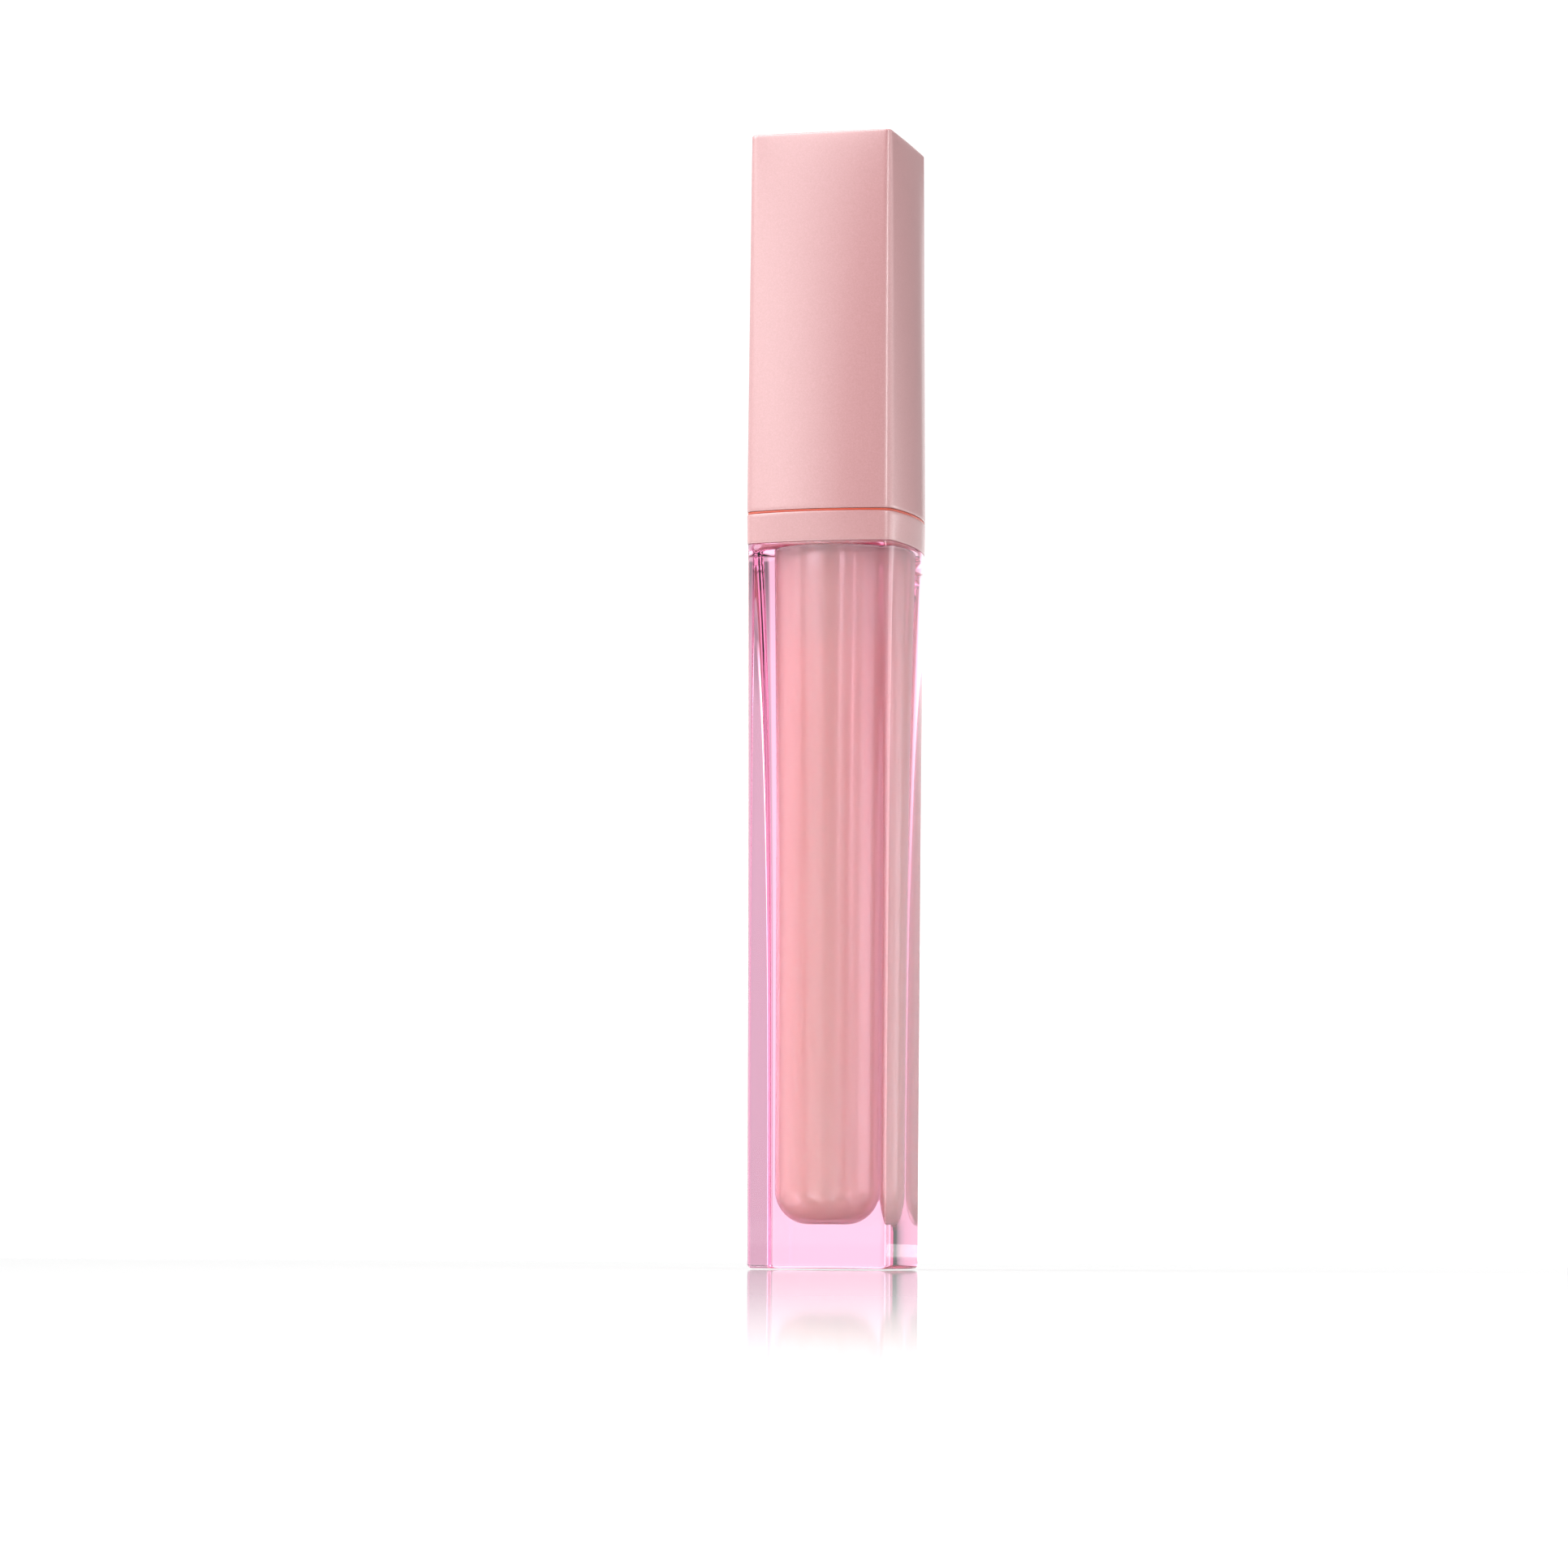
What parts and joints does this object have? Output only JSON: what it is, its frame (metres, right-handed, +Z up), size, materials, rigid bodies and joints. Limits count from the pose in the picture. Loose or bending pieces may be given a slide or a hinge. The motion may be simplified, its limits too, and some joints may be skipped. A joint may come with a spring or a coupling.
{
  "type": "lip gloss tube",
  "caption": "Tall square lip gloss tube: clear thick-walled bottle with a round pink-filled chamber, pearl pink screw cap with a gold end plate, and an applicator wand.",
  "frame": {"origin": "middle of the bottle's underside", "axes": "+Z up along the tube from bottle to cap; +X and +Y square to its flat sides"},
  "size_m": [0.0184, 0.0184, 0.1234],
  "materials": {
    "clear_pink": "gloss",
    "clear_liner": "gloss",
    "gloss_pink": "gloss",
    "pearl_pink": "satin",
    "coral_plastic": "gloss",
    "natural_plastic": "satin",
    "seal_foam": "matte",
    "steel": "satin",
    "gold_plate": "polished",
    "adhesive": "matte",
    "flock": "matte"
  },
  "bodies": {
    "bottle": {"outer_bottle": "clear_pink", "chamber_liner": "clear_liner", "gloss_fill": "gloss_pink", "neck": "coral_plastic", "wiper": "natural_plastic", "collar": "pearl_pink"},
    "seal": {"seal_washer": "seal_foam"},
    "weight": {"cap_weight": "steel"},
    "cap": {"cap_shell": "pearl_pink", "plate_pad": "adhesive", "top_plate": "gold_plate", "cap_insert": "natural_plastic", "stem": "natural_plastic", "applicator_tip": "flock"}
  },
  "joints": [
    {"name": "wand_pull", "type": "slide", "parent": "bottle", "child": "seal", "axis": [0, 0, 1], "range_m": [0, 0.095], "deforming": ["wiper"]},
    {"name": "cap_rise", "type": "slide", "parent": "seal", "child": "weight", "axis": [0, 0, 1], "range_m": [0, 0.003]},
    {"name": "cap_unscrew", "type": "hinge", "parent": "weight", "child": "cap", "pos_m": [0, 0, 0.085], "axis": [0, 0, 1], "range_deg": [0, 450]}
  ],
  "couplings": [
    {"joint": "cap_rise", "follows": "cap_unscrew", "m_per_rad": 0.00038197}
  ]
}
